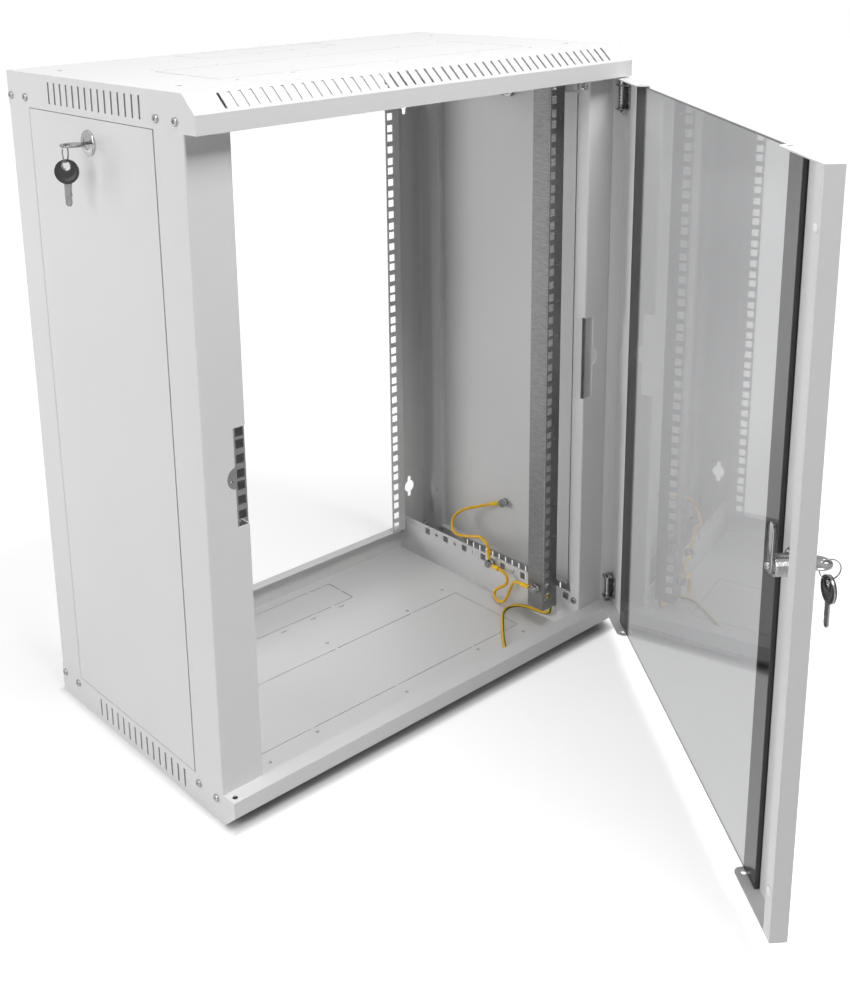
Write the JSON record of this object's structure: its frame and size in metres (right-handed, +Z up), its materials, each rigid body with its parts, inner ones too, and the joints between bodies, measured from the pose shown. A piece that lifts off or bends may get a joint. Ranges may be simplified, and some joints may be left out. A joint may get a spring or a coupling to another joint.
{
  "type": "wall mount network cabinet",
  "caption": "Wall-hung steel cabinet for 19-inch network equipment, with a hinged glass door, removable locked side panels, rack rails and earth leads.",
  "frame": {"origin": "centre of the underside of the base panel", "axes": "+X to the right seen from the front, +Y to the wall behind, +Z up"},
  "size_m": [0.6402, 0.8268, 0.745],
  "materials": {
    "light_grey_paint": "smooth light grey powder coat, satin",
    "galvanised_steel": "zinc-plated sheet with a fine directional spangle",
    "zinc_fastener": "bright zinc-plated screws, studs and nuts",
    "lock_chrome": "bright nickel-plated lock body and cam",
    "key_steel": "bright plated key and ring",
    "black_cover": "black moulded key cover",
    "tinted_glass": "clear grey-tinted toughened glass",
    "black_tape": "black bonding tape",
    "clear_bumper": "translucent soft bumper",
    "yellow_lead": "yellow insulated earth lead",
    "striped_lead": "yellow and green insulated earth lead",
    "yellow_sleeve": "yellow crimp sleeve",
    "tinned_copper": "tinned ring terminal"
  },
  "bodies": {
    "cabinet": {"base_panel": "light_grey_paint", "roof_panel": "light_grey_paint", "front_post_right": "light_grey_paint", "front_post_left": "light_grey_paint", "rear_post_right": "light_grey_paint", "rear_post_left": "light_grey_paint", "lower_bar_right": "light_grey_paint", "lower_bar_left": "light_grey_paint", "upper_bar_right": "light_grey_paint", "upper_bar_left": "light_grey_paint", "rack_rail_right": "galvanised_steel", "rack_rail_left": "galvanised_steel", "corner_screws": "zinc_fastener", "bar_screws": "zinc_fastener", "rail_bolts": "zinc_fastener", "case_earth_studs": "zinc_fastener", "case_lugs": "tinned_copper", "case_lug_sleeves": "yellow_sleeve", "lead_rail": "yellow_lead", "lead_tail": "striped_lead", "lead_panel": "yellow_lead"},
    "right_panel": {"side_panel_right": "light_grey_paint", "panel_earth_stud": "zinc_fastener", "panel_lug": "tinned_copper", "panel_lug_sleeve": "yellow_sleeve", "right_lock_housing": "lock_chrome", "right_lock_nut": "lock_chrome"},
    "right_lock": {"right_lock_plug": "lock_chrome", "right_lock_cam": "lock_chrome", "right_cam_screw": "lock_chrome"},
    "left_panel": {"side_panel_left": "light_grey_paint", "left_lock_housing": "lock_chrome", "left_lock_nut": "lock_chrome"},
    "left_lock": {"left_lock_plug": "lock_chrome", "left_lock_cam": "lock_chrome", "left_cam_screw": "lock_chrome", "left_key": "key_steel"},
    "left_keys": {"left_key_ring": "key_steel", "left_spare_key": "key_steel", "left_spare_cover": "black_cover"},
    "door": {"hinge_stile": "light_grey_paint", "lock_stile": "light_grey_paint", "door_glass": "tinted_glass", "door_tapes": "black_tape", "door_bumpers": "clear_bumper", "hinge_brackets": "zinc_fastener", "door_lock_housing": "lock_chrome", "door_lock_nut": "lock_chrome", "hinge_spring_lower": "zinc_fastener", "hinge_spring_upper": "zinc_fastener"},
    "pin_lower": {"hinge_pin_lower": "zinc_fastener"},
    "pin_upper": {"hinge_pin_upper": "zinc_fastener"},
    "door_lock": {"door_lock_plug": "lock_chrome", "door_lock_cam": "lock_chrome", "door_cam_screw": "lock_chrome", "door_key": "key_steel"},
    "door_keys": {"door_key_ring": "key_steel", "door_spare_key": "key_steel", "door_spare_cover": "black_cover"}
  },
  "joints": [
    {"name": "door_hinge", "type": "hinge", "parent": "cabinet", "child": "door", "pos_m": [0.293, -0.171, 0.3725], "axis": [0, 0, 1], "range_deg": [-53, 117]},
    {"name": "door_lock_turn", "type": "hinge", "parent": "door", "child": "door_lock", "pos_m": [-0.03311, -0.61706, 0.3725], "axis": [-0.7986, 0.6018, 0], "range_deg": [-90, 0]},
    {"name": "door_keys_swing", "type": "hinge", "parent": "door_lock", "child": "door_keys", "pos_m": [-0.01379, -0.63162, 0.3725], "axis": [0.7986, -0.6018, 0], "range_deg": [-30, 30]},
    {"name": "lower_pin_slide", "type": "slide", "parent": "door", "child": "pin_lower", "axis": [0, 0, 1], "range_m": [0, 0.008], "stiffness_N_per_m": 300, "springref_m": -0.004, "deforming": ["hinge_spring_lower"]},
    {"name": "upper_pin_slide", "type": "slide", "parent": "door", "child": "pin_upper", "axis": [0, 0, -1], "range_m": [0, 0.008], "stiffness_N_per_m": 300, "springref_m": -0.004, "deforming": ["hinge_spring_upper"]},
    {"name": "right_panel_tilt", "type": "hinge", "parent": "cabinet", "child": "right_panel", "pos_m": [0.3, 0.01225, 0.03675], "axis": [0, 1, 0], "range_deg": [0, 12], "deforming": ["lead_panel"]},
    {"name": "right_lock_turn", "type": "hinge", "parent": "right_panel", "child": "right_lock", "pos_m": [0.3, 0.01225, 0.684], "axis": [-1, 0, 0], "range_deg": [-90, 0]},
    {"name": "left_panel_tilt", "type": "hinge", "parent": "cabinet", "child": "left_panel", "pos_m": [-0.3, 0.01225, 0.03675], "axis": [0, -1, 0], "range_deg": [0, 12]},
    {"name": "left_lock_turn", "type": "hinge", "parent": "left_panel", "child": "left_lock", "pos_m": [-0.3, 0.01225, 0.684], "axis": [1, 0, 0], "range_deg": [-90, 0]},
    {"name": "left_keys_swing", "type": "hinge", "parent": "left_lock", "child": "left_keys", "pos_m": [-0.3242, 0.01225, 0.684], "axis": [-0.7071, -0.7071, 0], "range_deg": [-30, 30]}
  ]
}
